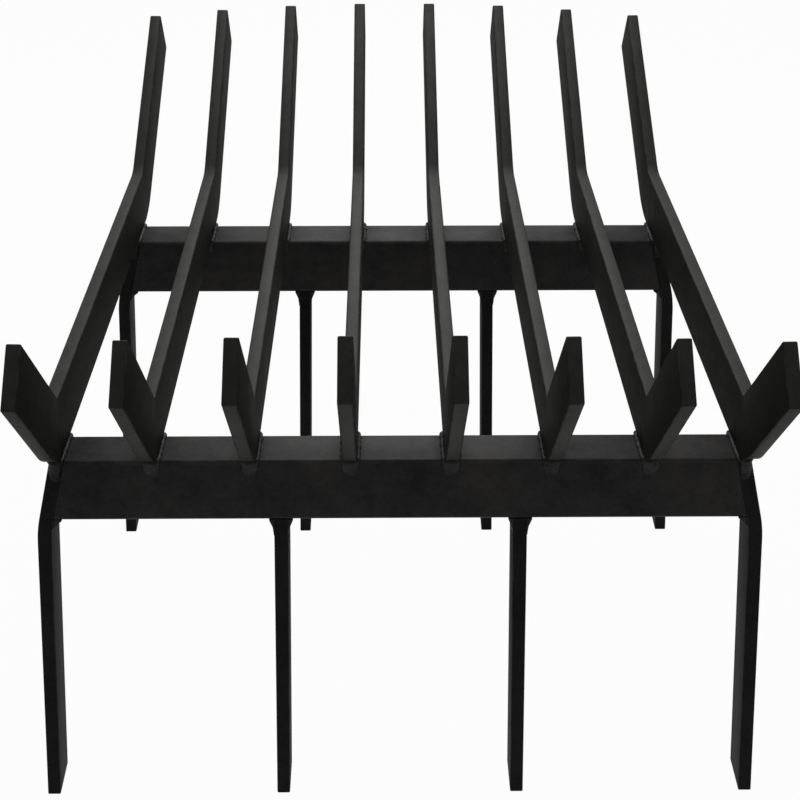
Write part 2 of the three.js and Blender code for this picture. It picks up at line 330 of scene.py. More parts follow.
@dataclass(frozen=True)
class Plan:
    """Sizes that the bars, rails, legs and welds have in common."""

    half_steps: float = 3.5
    pitch: float = 0.0498
    end_closing: float = 0.0038
    rear_narrowing: float = 0.0081
    rail_spacing: float = 0.259
    rail_top: float = 0.214
    rail_height: float = 0.0345
    rail_depth: float = 0.026
    stock: float = 0.007

    @property
    def rail_underside(self) -> float:
        """Height of a rail's underside."""
        return self.rail_top - self.rail_height

    @property
    def rear_share(self) -> float:
        """Width of the rear rail as a share of the front one's."""
        return 1 - self.rear_narrowing / self.bar_x(self.half_steps)

    def bar_x(self, step: float) -> float:
        """Middle of a bar on the front rail; step counts from the middle of the grate."""
        return step * self.pitch - self.end_closing * (step / self.half_steps) ** 3

    def bar_turn(self, step: float) -> float:
        """Turn about Z that carries a bar to its place on the rear rail."""
        return math.atan2(self.bar_x(step) * (1 - self.rear_share), self.rail_spacing)

    def steps(self) -> list[float]:
        """Steps of all bars, from the left."""
        return [i - self.half_steps for i in range(int(2 * self.half_steps) + 1)]

    def rails(self) -> tuple[RailPlace, RailPlace]:
        """Works out the rails' places.

        Returns:
            Places of the front and the rear rail.
        """
        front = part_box("front_rail")[0].y
        return (
            RailPlace("front", front, share=1.0, splay=radians(3.6)),
            RailPlace("rear", front + self.rail_spacing, self.rear_share, splay=radians(2.6)),
        )


# ---- bars ----


@dataclass(frozen=True)
class Prong:
    """One bent end of a bar; its corner is where the upper edges would meet unbent."""

    side: int
    corner_y: float
    rise: float
    length: float
    end_shortening: float
    radius: float

    @property
    def along(self) -> Vector:
        """Direction in which the prong points."""
        return Vector((0, self.side * math.cos(self.rise), math.sin(self.rise)))

    @property
    def setback(self) -> float:
        """Length that the bend takes on each side of the corner."""
        return self.radius * math.tan(self.rise / 2)

    def centre(self, top: float) -> Vector:
        """Centre of the bend over a bar whose upper edge has this height."""
        return Vector((0, self.corner_y - self.side * self.setback, top + self.radius))


@dataclass
class GrateBars:
    """Eight flat bars on edge, each bent up into a front and a longer rear prong."""

    plan: Plan
    height: float = 0.0315
    edge_radius: float = 0.0008
    bend_steps: int = 12
    front: Prong = Prong(
        FRONT, 0.008, radians(46.5), length=0.0925, end_shortening=0.0098, radius=0.008
    )
    rear: Prong = Prong(
        REAR, 0.295, radians(31), length=0.139, end_shortening=0.0104, radius=0.022
    )

    @property
    def top(self) -> float:
        """Height of a bar's level upper edge."""
        return self.plan.rail_top + self.height

    def pattern(self) -> Piece:
        """Models one bar with full prongs, its middle on x 0 and the rail's face on y 0.

        Returns:
            The bar.
        """
        half = self.plan.stock / 2
        ends = {prong: prong.centre(self.top).y for prong in (self.front, self.rear)}
        low = (-half, ends[self.front], self.plan.rail_top)
        bar = block("bar_pattern", low, (half, ends[self.rear], self.top))
        with Modelling(bar) as model:
            for prong in (self.front, self.rear):
                model.select_facing(Vector((0, prong.side, 0)))
                centre = prong.centre(self.top)
                turn = prong.side * prong.rise
                model.bend(turn, centre, Vector((1, 0, 0)), self.bend_steps)
                model.pull(prong.along * (prong.length - prong.setback))
            model.tidy()
        round_edges(bar, self.edge_radius)
        mark_narrow_faces(bar)
        return bar

    def cut_to_length(self, bar: Piece, step: float) -> None:
        """Draws in the tips of a bar that stands away from the middle.

        Args:
            bar: The bar, still where its pattern stands.
            step: The bar's place, counted from the middle of the grate.
        """
        share = (step / self.plan.half_steps) ** 2
        with Modelling(bar) as model:
            for prong in (self.front, self.rear):
                corner = Vector((0, prong.corner_y, self.top))
                halfway = prong.length / 2
                model.select(
                    Element.VERTEX,
                    lambda place, _: (place - corner).dot(prong.along) > halfway,
                )
                shorter = prong.along * -prong.end_shortening * share
                bpy.ops.transform.translate(value=shorter)

    def build(self, finish: "PaintFinish") -> None:
        """Copies the pattern to each bar's place and dresses the copies.

        Args:
            finish: The bars' finish.
        """
        front_rail = self.plan.rails()[0]
        pattern = self.pattern()
        for number, step in enumerate(self.plan.steps(), start=1):
            bar = copy_of(pattern, f"bar_{number}")
            self.cut_to_length(bar, step)
            bar.rotation_euler.z = self.plan.bar_turn(step)
            bar.location = (self.plan.bar_x(step), front_rail.face_y, 0)
            settle(bar)
            dress(bar, finish, f"grate_bar_{number}")
        remove([pattern])


# ---- rails and legs ----


@dataclass
class OuterLeg:
    """A flat leg that lies along a rail's cut end and bends just under the rail."""

    plan: Plan
    rail: RailPlace
    inset: float = 0.0012
    lean: float = radians(13.5)
    bend_drop: float = 0.0065
    bend_radius: float = 0.080
    bend_steps: int = 8
    edge_radius: float = 0.0007

    @property
    def corner(self) -> Vector:
        """Where the leg's two middle lines would meet unbent."""
        height = self.plan.rail_underside - self.bend_drop
        top_x = self.plan.bar_x(self.plan.half_steps) * self.rail.share - self.inset
        return Vector((top_x + (self.plan.rail_top - height) * math.tan(self.lean), 0, height))

    @property
    def centre(self) -> Vector:
        """Centre of the bend."""
        middle = (self.lean + self.rail.splay) / 2
        reach = self.bend_radius / math.cos((self.lean - self.rail.splay) / 2)
        return self.corner - Vector((math.cos(middle), 0, math.sin(middle))) * reach

    def inner_face(self, height: float) -> float:
        """Finds the inner face of the leaning top.

        Args:
            height: The height that is asked for.

        Returns:
            X of the face at that height.
        """
        across = self.bend_radius - self.plan.stock / 2
        start = self.centre + Vector((math.cos(self.lean), 0, math.sin(self.lean))) * across
        return start.x - (height - start.z) * math.tan(self.lean)

    def build(self) -> Piece:
        """Models the right-hand leg: a leaning top, a bend, and a long lower part.

        Returns:
            The leg.
        """
        half, depth = self.plan.stock / 2, self.plan.rail_depth
        low = (self.bend_radius - half, self.rail.face_y, 0)
        high = (self.bend_radius + half, self.rail.face_y + depth, self.plan.rail_height * 2)
        leg = block(f"leg_{self.rail.name}_outer_right", low, high)
        leg.rotation_euler.y = -self.lean
        settle(leg)
        with Modelling(leg) as model:
            model.select_facing(Vector((math.sin(self.lean), 0, -math.cos(self.lean))))
            splay = self.rail.splay
            model.bend(self.lean - splay, Vector(), Vector((0, 1, 0)), self.bend_steps)
            model.pull(Vector((math.sin(splay), 0, -math.cos(splay))) * self.plan.rail_top)
            model.tidy()
        leg.location = self.centre
        settle(leg)
        with Modelling(leg) as model:
            model.cut(Vector(), -UP)
            model.cut(UP * self.plan.rail_top, UP)
            model.tidy()
        round_edges(leg, self.edge_radius)
        return leg


@dataclass
class InnerLeg:
    """A straight flat leg that stands under a rail, slightly splayed."""

    plan: Plan
    rail: RailPlace
    middle_x: float = 0.060
    splay: float = radians(1.3)
    edge_radius: float = 0.0007

    def centre_x(self, height: float) -> float:
        """Middle of the right-hand leg at a height."""
        drop = self.plan.rail_underside - height
        return self.middle_x * self.rail.share + drop * math.tan(self.splay)

    def build(self) -> Piece:
        """Models the right-hand leg from a block that is turned and sawn level.

        Returns:
            The leg.
        """
        half, depth = self.plan.stock / 2, self.plan.rail_depth
        top = self.plan.rail_underside
        low = (-half, self.rail.face_y, -top - half)
        high = (half, self.rail.face_y + depth, half)
        leg = block(f"leg_{self.rail.name}_inner_right", low, high)
        leg.rotation_euler.y = -self.splay
        leg.location = (self.centre_x(top), 0, top)
        settle(leg)
        with Modelling(leg) as model:
            model.cut(Vector(), -UP)
            model.cut(UP * top, UP)
            model.tidy()
        round_edges(leg, self.edge_radius)
        return leg


@dataclass
class CrossRail:
    """A solid rail with rounded long edges, its ends cut to lie along the outer legs."""

    plan: Plan
    rail: RailPlace
    edge_radius: float = 0.0021
    edge_segments: int = 5
    end_gap: float = 0.0001

    def build(self, outer_leg: OuterLeg) -> Piece:
        """Models the rail between the inner faces of its outer legs.

        Args:
            outer_leg: The right-hand outer leg, which sets the slope of the rail's cut end.

        Returns:
            The rail.
        """
        top, underside = self.plan.rail_top, self.plan.rail_underside
        reach = outer_leg.inner_face(underside) + self.edge_radius
        low = (-reach, self.rail.face_y, underside)
        high = (reach, self.rail.face_y + self.plan.rail_depth, top)
        rail = block(f"rail_{self.rail.name}", low, high)
        round_edges(rail, self.edge_radius, self.edge_segments)
        end = Vector((outer_leg.inner_face(top) - self.end_gap, 0, top))
        slope = Vector((math.cos(outer_leg.lean), 0, math.sin(outer_leg.lean)))
        with Modelling(rail) as model:
            for side in (LEFT, RIGHT):
                towards = Vector((side, 1, 1))
                model.cut(end * towards, slope * towards)
            model.tidy()
        return rail


# ---- welds ----


def run_together(piece: Piece, voxel: float, smoothing: int, lump: float, lump_size: float) -> None:
    """Melts a rough shape into one skin with the uneven swell of weld metal.

    Args:
        piece: The rough shape; parts of it may overlap.
        voxel: Size of the finest feature that is kept.
        smoothing: Rounds of smoothing.
        lump: Height of the swells.
        lump_size: Distance from one swell to the next.
    """
    apply_modifier(piece, "REMESH", mode="VOXEL", voxel_size=voxel)
    apply_modifier(piece, "SMOOTH", factor=0.5, iterations=smoothing)
    swell = bpy.data.textures.new(piece.name, "CLOUDS")
    swell.noise_scale = lump_size
    apply_modifier(piece, "DISPLACE", texture=swell, texture_coords="LOCAL", strength=lump)
    bpy.data.textures.remove(swell)


@dataclass(frozen=True)
class Puddle:
    """One frozen puddle of a weld bead: its middle and its three half sizes."""

    place: Vector
    radii: Vector


def lay_bead(name: str, puddles: Iterable[Puddle]) -> Piece:
    """Lays overlapping puddles of weld and joins them into one rough piece.

    Args:
        name: The piece's name.
        puddles: The puddles.

    Returns:
        The rough piece.
    """
    laid = []
    for puddle in puddles:
        bpy.ops.mesh.primitive_uv_sphere_add(segments=14, ring_count=8, location=puddle.place)
        laid.append(bpy.context.object)
        laid[-1].scale = puddle.radii
    for puddle in laid:
        puddle.select_set(True)
    bpy.ops.object.join()
    bead = bpy.context.object
    bead.name = bead.data.name = name
    settle(bead)
    return bead


@dataclass
class BarWelds:
    """Welds round the foot of each bar: a bead beside it, and a toe down each face of the rail."""

    plan: Plan
    bead_width: float = 0.0015
    bead_height: float = 0.0015
    bead_length: float = 0.0045
    bead_puddles: int = 9
    bead_offset: float = 0.0003
    bead_sizes: tuple[float, float] = (0.8, 1.15)
    toe_width: float = 0.0050
    toe_tip_width: float = 0.0027
    toe_taper: float = 1.6
    toe_depth: float = 0.0026
    toe_thinning: float = 0.3
    toe_half_height: float = 0.0019
    toe_start: float = 0.0003
    toe_drop: float = 0.0098
    toe_drift: float = 0.0014
    toe_wander: float = 0.0003
    toe_stand_off: float = 0.0003
    end_toe_share: float = 0.66
    toe_puddles: int = 7
    throat_middle: tuple[float, float] = (0.0006, 0.0005)
    throat_half_height: float = 0.0018
    seeds: tuple[int, ...] = (3, 8, 14)
    end_seed: int = 5
    # Painted shade down the toes: where it starts under the rail's top, and over what drop it
    # deepens.
    low_shade_depth: float = 0.0045
    low_shade_fall: float = 0.0050
    voxel: float = 0.00035

    def side_bead(self, side: int, chance: random.Random) -> list[Puddle]:
        """Lays out the puddles along one side of a bar's foot.

        Args:
            side: The bar's side, LEFT or RIGHT.
            chance: Source of the puddles' unevenness.

        Returns:
            The puddles, from front to rear.
        """
        x = side * (self.plan.stock / 2 + self.bead_offset)
        puddles = []
        for i in range(self.bead_puddles):
            share = (i + 1) / (self.bead_puddles + 1)
            y = share * self.plan.rail_depth
            size = chance.uniform(*self.bead_sizes)
            place = Vector((x, y, self.plan.rail_top))
            radii = Vector((self.bead_width * size, self.bead_length, self.bead_height * size))
            puddles.append(Puddle(place, radii))
        return puddles

    def toe(self, face: int, chance: random.Random, share_of_width: float) -> list[Puddle]:
        """Lays out the puddles that run down a face of the rail, under the bar.

        Args:
            face: The rail's face, FRONT or REAR.
            chance: Source of the puddles' unevenness.
            share_of_width: How much of its full width the toe has.

        Returns:
            The puddles, from the top down.
        """
        face_y = 0.0 if face == FRONT else self.plan.rail_depth
        drift = chance.uniform(-self.toe_drift, self.toe_drift) * share_of_width
        puddles = []
        for i in range(self.toe_puddles):
            share = i / (self.toe_puddles - 1)
            width = self.toe_width * share_of_width
            width += (self.toe_tip_width - width) * share**self.toe_taper
            depth = self.toe_depth * (1 - self.toe_thinning * share)
            x = drift * share + chance.uniform(-self.toe_wander, self.toe_wander)
            z = self.plan.rail_top + self.toe_start - self.toe_drop * share
            place = Vector((x, face_y - face * self.toe_stand_off, z))
            puddles.append(Puddle(place, Vector((width, depth, self.toe_half_height))))
        return puddles

    def pattern(
        self, name: str, sides: Sequence[int], seed: int, share_of_width: float = 1.0
    ) -> Piece:
        """Models one weld in its bar's own frame, the rail's face on y 0.

        Args:
            name: The pattern's name.
            sides: Sides of the bar that carry a bead.
            seed: Fixes the unevenness of its puddles.
            share_of_width: How much of their full width its toes have.

        Returns:
            The weld, melted into one skin.
        """
        chance = random.Random(seed)
        puddles = [puddle for side in sides for puddle in self.side_bead(side, chance)]
        for face in (FRONT, REAR):
            puddles += self.toe(face, chance, share_of_width)
        back, rise = self.throat_middle
        throat = Vector((self.plan.stock / 2, self.toe_depth, self.throat_half_height))
        puddles.append(Puddle(Vector((0, back, self.plan.rail_top + rise)), throat))
        weld = lay_bead(name, puddles)
        run_together(weld, self.voxel, smoothing=6, lump=0.0006, lump_size=0.003)
        low_shade = (self.plan.rail_top - self.low_shade_depth, self.low_shade_fall)
        paint_weld_shade(weld, self.hosts(), low_shade)
        return weld

    def hosts(self) -> list[Box]:
        """Works out where a stretch of the rail and the bar that stands on it are.

        Returns:
            The corners of both.
        """
        half, depth, top = self.plan.stock / 2, self.plan.rail_depth, self.plan.rail_top
        rail = (Vector((-depth, 0, self.plan.rail_underside)), Vector((depth, depth, top)))
        bar = (Vector((-half, -depth, top)), Vector((half, 2 * depth, top + depth)))
        return [rail, bar]

    def build(self, finish: "PaintFinish") -> None:
        """Copies the patterns to each crossing of a bar and a rail, and dresses the copies.

        Args:
            finish: The welds' finish.
        """
        sides = (LEFT, RIGHT)
        both = [self.pattern(f"weld_pattern_{seed}", sides, seed) for seed in self.seeds]
        end = self.pattern("weld_pattern_end", (LEFT,), self.end_seed, self.end_toe_share)
        for rail in self.plan.rails():
            for number, step in enumerate(self.plan.steps(), start=1):
                is_end = abs(step) == self.plan.half_steps
                pattern = end if is_end else both[number % len(both)]
                flipped = step < 0 if is_end else (number + len(rail.name)) % 2 == 0
                name = f"bead_bar_{number}_{rail.name}"
                weld = copy_of(pattern, name, mirror=flipped)
                weld.rotation_euler.z = self.plan.bar_turn(step)
                weld.location = (self.plan.bar_x(step) * rail.share, rail.face_y, 0)
                settle(weld)
                dress(weld, finish, f"weld_bar_{number}_{rail.name}")
        remove([*both, end])


@dataclass
class FlaredWeld:
    """A weld that is widest under a rail and feathers out down a leg, hollow in between."""

    low: Vector
    high: Vector
    anchor: Vector
    lean: float
    foot_share: tuple[float, float]
    drop: float
    steps: int = 7
    voxel: float = 0.0004

    def shares(self, depth: float) -> Vector:
        """Works out how much of the weld's width and thickness is left.

        Args:
            depth: From 0 under the rail to 1 at the weld's foot.

        Returns:
            The shares left in x and y.
        """
        left = (1 - depth) ** 2
        x_share, y_share = self.foot_share
        return Vector((x_share + (1 - x_share) * left, y_share + (1 - y_share) * left, 1))

    def build(self, name: str) -> Piece:
        """Draws the widest slice down the leg, narrower at each step, and melts its skin.

        Args:
            name: The weld's name.

        Returns:
            The weld.
        """
        weld = block(name, self.low, self.high)
        step = Vector((math.tan(self.lean), 0, -1)) * (self.drop / self.steps)
        anchor = self.anchor.copy()
        with Modelling(weld) as model:
            model.select_facing(-UP)
            before = self.shares(0)
            for i in range(1, self.steps + 1):
                after = self.shares(i / self.steps)
                anchor += step
                model.pull(step)
                shrink = Vector((after.x / before.x, after.y / before.y, 1))
                bpy.ops.transform.resize(value=shrink, center_override=anchor)
                before = after
            model.tidy()
        run_together(weld, self.voxel, smoothing=3, lump=0.0006, lump_size=0.004)
        return weld


@dataclass
class LegWelds:
    """Welds of a rail's legs: a flare round each inner leg, a fillet inside each outer one."""

    plan: Plan
    rail: RailPlace
    flare: float = 0.0026
    flare_drop: float = 0.0090
    feather: float = 0.0003
    fillet: float = 0.0042
    fillet_drop: float = 0.0062
    bite: float = 0.0012
    slice_height: float = 0.0007

    def inner(self, leg: InnerLeg) -> Piece:
        """Models the flare round the right-hand inner leg.

        Args:
            leg: The leg.

        Returns:
            The weld.
        """
        top = self.plan.rail_underside
        middle, half = leg.centre_x(top), self.plan.stock / 2
        front, back = self.rail.face_y + self.feather, self.rail.face_y + self.plan.rail_depth
        wide, deep = half + self.flare, back + self.flare - front
        low = Vector((middle - wide, front, top - self.slice_height))
        high = Vector((middle + wide, front + deep, top + self.feather))
        foot = ((half + self.feather) / wide, (back + self.feather - front) / deep)
        anchor = Vector((middle, front, low.z))
        weld = FlaredWeld(low, high, anchor, leg.splay, foot, self.flare_drop)
        made = weld.build(f"bead_leg_{self.rail.name}_inner_right")
        paint_weld_shade(made, self.hosts(middle - half, middle + half))
        return made

    def hosts(self, left: float, right: float) -> list[Box]:
        """Corners of the right-hand half of the rail and of the top of a leg.

        Args:
            left: X of the leg's left face.
            right: X of its right face.

        Returns:
            The two boxes.
        """
        front, top = self.rail.face_y, self.plan.rail_top
        back = front + self.plan.rail_depth
        reach = self.plan.bar_x(self.plan.half_steps)
        rail = (Vector((0, front, self.plan.rail_underside)), Vector((reach, back, top)))
        return [rail, (Vector((left, front, 0)), Vector((right, back, top)))]

    def outer(self, leg: OuterLeg) -> Piece:
        """Models the fillet between the right-hand outer leg and the rail's underside.

        Args:
            leg: The leg.

        Returns:
            The weld.
        """
        top = self.plan.rail_underside
        inside = leg.inner_face(top) + self.bite
        front = self.rail.face_y + self.feather
        wide = self.fillet + self.bite
        low = Vector((inside - wide, front, top - self.slice_height))
        high = Vector((inside, front + self.plan.rail_depth - 2 * self.feather, top + self.feather))
        foot = ((self.feather + self.bite) / wide, 1.0)
        anchor = Vector((inside, front, low.z))
        weld = FlaredWeld(low, high, anchor, leg.lean, foot, self.fillet_drop)
        made = weld.build(f"bead_leg_{self.rail.name}_outer_right")
        leg_face = inside - self.bite
        paint_weld_shade(made, self.hosts(leg_face, leg_face + wide))
        return made


@dataclass
class Carriage:
    """A rail with its four legs and their welds."""

    plan: Plan
    rail: RailPlace

    def build(
        self, rail_paint: "PaintFinish", leg_paint: "PaintFinish", weld_paint: "PaintFinish"
    ) -> None:
        """Models the right-hand half, mirrors it, and dresses every piece.

        Args:
            rail_paint: The rail's finish.
            leg_paint: The legs' finish.
            weld_paint: The welds' finish.
        """
        name = self.rail.name
        outer, inner = OuterLeg(self.plan, self.rail), InnerLeg(self.plan, self.rail)
        welds = LegWelds(self.plan, self.rail)
        rail = CrossRail(self.plan, self.rail).build(outer)
        dress(rail, rail_paint, f"{name}_rail")
        made = (
            (outer.build(), leg_paint, f"{name}_leg_outer"),
            (inner.build(), leg_paint, f"{name}_leg_inner"),
            (welds.outer(outer), weld_paint, f"weld_leg_outer_{name}"),
            (welds.inner(inner), weld_paint, f"weld_leg_inner_{name}"),
        )
        for right, finish, node in made:
            left = copy_of(right, right.name.replace("_right", "_left"), mirror=True)
            for piece, side in ((right, "right"), (left, "left")):
                dress(piece, finish, f"{node}_{side}")


# ---- finishes ----


class Wiring:
    """Adds nodes to a node tree and joins their sockets."""

    def __init__(self, tree: bpy.types.NodeTree) -> None:
        """Starts from an empty tree."""
        self.tree = tree
        tree.nodes.clear()

    def node(
        self,
        kind: str,
        settings: dict[str, object] | None = None,
        numbered: dict[int, object] | None = None,
        **named: object,
    ) -> bpy.types.Node:
        """Adds a node, with a value or another node's output for each input.

        Args:
            kind: The node's type, without "ShaderNode".
            settings: The node's own properties.
            numbered: Inputs by number, where their names don't tell them apart.
            **named: Inputs by name, with _ for spaces.

        Returns:
            The new node.
        """
        prefix = "Node" if kind in ("GroupInput", "GroupOutput") else "ShaderNode"
        node = self.tree.nodes.new(prefix + kind)
        for name, value in (settings or {}).items():
            setattr(node, name, value)
        inputs = {name.replace("_", " "): value for name, value in named.items()}
        for key, value in {**inputs, **(numbered or {})}.items():
            if isinstance(value, Socket):
                self.tree.links.new(value, node.inputs[key])
            else:
                node.inputs[key].default_value = value
        return node

    def shared(self, name: str, maker: Maker, **inputs: object) -> Sockets:
        """Places a group that finishes share, and makes it at its first use.

        Args:
            name: The group's name.
            maker: Wires the inside of the group.
            **inputs: What is fed in; only Vector is a vector.

        Returns:
            The outputs of the placed group.
        """
        tree = bpy.data.node_groups.get(name)
        if not tree:
            tree = bpy.data.node_groups.new(name, "ShaderNodeTree")
            for key in inputs:
                kind = "NodeSocketVector" if key == "Vector" else "NodeSocketFloat"
                tree.interface.new_socket(key, in_out="INPUT", socket_type=kind)
            wire = Wiring(tree)
            outputs = maker(wire, wire.node("GroupInput").outputs)
            for key in outputs:
                tree.interface.new_socket(key, in_out="OUTPUT", socket_type="NodeSocketFloat")
            wire.node("GroupOutput", **outputs)
        return self.node("Group", {"node_tree": tree}, **inputs).outputs

    def attribute(self, name: str) -> Socket:
        """Reads a piece's own attribute, which is 0 where the piece doesn't have it."""
        return self.node("Attribute", {"attribute_name": name}).outputs["Fac"]

    def math(self, operation: str, first: object, second: object) -> Socket:
        """Combines two numbers and returns the result's socket."""
        return self.node("Math", {"operation": operation}, {0: first, 1: second}).outputs[0]

    def times(self, first: object, second: object) -> Socket:
        """Multiplies two numbers."""
        return self.math("MULTIPLY", first, second)

    def blend(self, *terms: tuple[Socket, float]) -> Socket:
        """Adds up values, each taken with its own strength."""
        parts = [self.times(value, strength) for value, strength in terms]
        return reduce(lambda total, part: self.math("ADD", total, part), parts)

    def mix(self, share: Socket, first: object, second: object) -> Socket:
        """Blends two colours by a share and returns the result's socket."""
        inputs = dict(zip(COLOUR_MIX_INPUTS, (share, first, second)))
        return self.node("Mix", {"data_type": "RGBA"}, inputs).outputs[COLOUR_MIX_OUTPUT]

    def mix_shaders(self, share: Socket, first: bpy.types.Node, second: bpy.types.Node) -> Socket:
        """Blends the shaders of two nodes by a share and returns the result's socket."""
        shaders = {1: first.outputs[0], 2: second.outputs[0]}
        return self.node("MixShader", None, shaders, Fac=share).outputs[0]

    def noise(self, vector: Socket, size: float, detail: float) -> Socket:
        """Adds soft noise whose features have about this size in metres."""
        return self.node("TexNoise", Vector=vector, Scale=1 / size, Detail=detail).outputs["Fac"]

    def ramp(self, value: Socket, low: object, high: object) -> Socket:
        """Stretches the part of a value between low and high to 0 to 1."""
        return self.node("MapRange", Value=value, From_Min=low, From_Max=high).outputs["Result"]

    def between(self, value: Socket, low: float, high: float) -> Socket:
        """Carries a value that runs from 0 to 1 over to run from low to high."""
        return self.node("MapRange", Value=value, To_Min=low, To_Max=high).outputs["Result"]


@dataclass(frozen=True)
class FilmPattern:
    """Brushed and sprayed paint over rolled steel: sizes, in metres, of what shows in it."""

    cloud_size: float = 0.045
    patch_size: float = 0.009
    rolled_size: float = 0.0026
    grain_size: float = 0.0008
    peel_size: float = 0.0017
    pit_area_size: float = 0.016
    pits_per_metre: float = 170.0

    def make(self, wire: Wiring, given: Sockets) -> dict[str, Socket]:
        """Wires the film's tone, how matt it is, and its relief.

        Args:
            wire: The group's wiring.
            given: The group's inputs.

        Returns:
            The group's outputs.
        """
        vector = given["Vector"]
        clouds = wire.ramp(wire.noise(vector, self.cloud_size, detail=3), low=0.34, high=0.66)
        patches = wire.ramp(wire.noise(vector, self.patch_size, detail=4), low=0.3, high=0.7)
        rolled = wire.ramp(wire.noise(vector, self.rolled_size, detail=3), low=0.3, high=0.7)
        grain = wire.noise(vector, self.grain_size, detail=2)
        peel = wire.noise(vector, self.peel_size, detail=1)
        cells = wire.node("TexVoronoi", Vector=vector, Scale=self.pits_per_metre)
        pit = wire.ramp(cells.outputs["Distance"], low=0.16, high=0.04)
        pitted = wire.ramp(wire.noise(vector, self.pit_area_size, detail=1), low=0.58, high=0.66)
        pits = wire.times(wire.times(pit, pitted), given["Pits"])
        tone = wire.blend((clouds, 0.45), (patches, 0.3), (rolled, 0.25), (pits, -0.6))
        matt = wire.blend((patches, 0.6), (grain, 0.4))
        swell = wire.times(wire.blend((peel, 0.6), (grain, 0.25), (rolled, 0.3)), given["Peel"])
        relief = wire.math("ADD", swell, wire.times(pits, -2.5))
        return {"Tone": tone, "Matt": matt, "Height": relief}


def worn_and_highlighted_edges(wire: Wiring, given: Sockets) -> dict[str, Socket]:
    """Lighter broken lines along the rounded edges: paint worn thin by handling, and a painted
    highlight of the edges.
    """
    broken = wire.ramp(wire.noise(given["Vector"], size=0.012, detail=4), low=0.42, high=0.62)
    return {"Mask": wire.times(wire.times(given["Edge"], broken), given["Amount"])}


def hearth_dust(wire: Wiring, given: Sockets) -> dict[str, Socket]:
    """Fine hearth dust: it lies thinly at the feet and fades out up the legs.

    Args:
        wire: The group's wiring.
        given: The group's inputs.

    Returns:
        The group's output.
    """
    height = wire.node("SeparateXYZ", Vector=given["Vector"]).outputs["Z"]
    fade = wire.ramp(height, low=given["Reach"], high=0.0)
    speckle = wire.ramp(wire.noise(given["Vector"], size=0.004, detail=4), low=0.4, high=0.7)
    return {"Mask": wire.times(wire.times(fade, speckle), given["Amount"])}


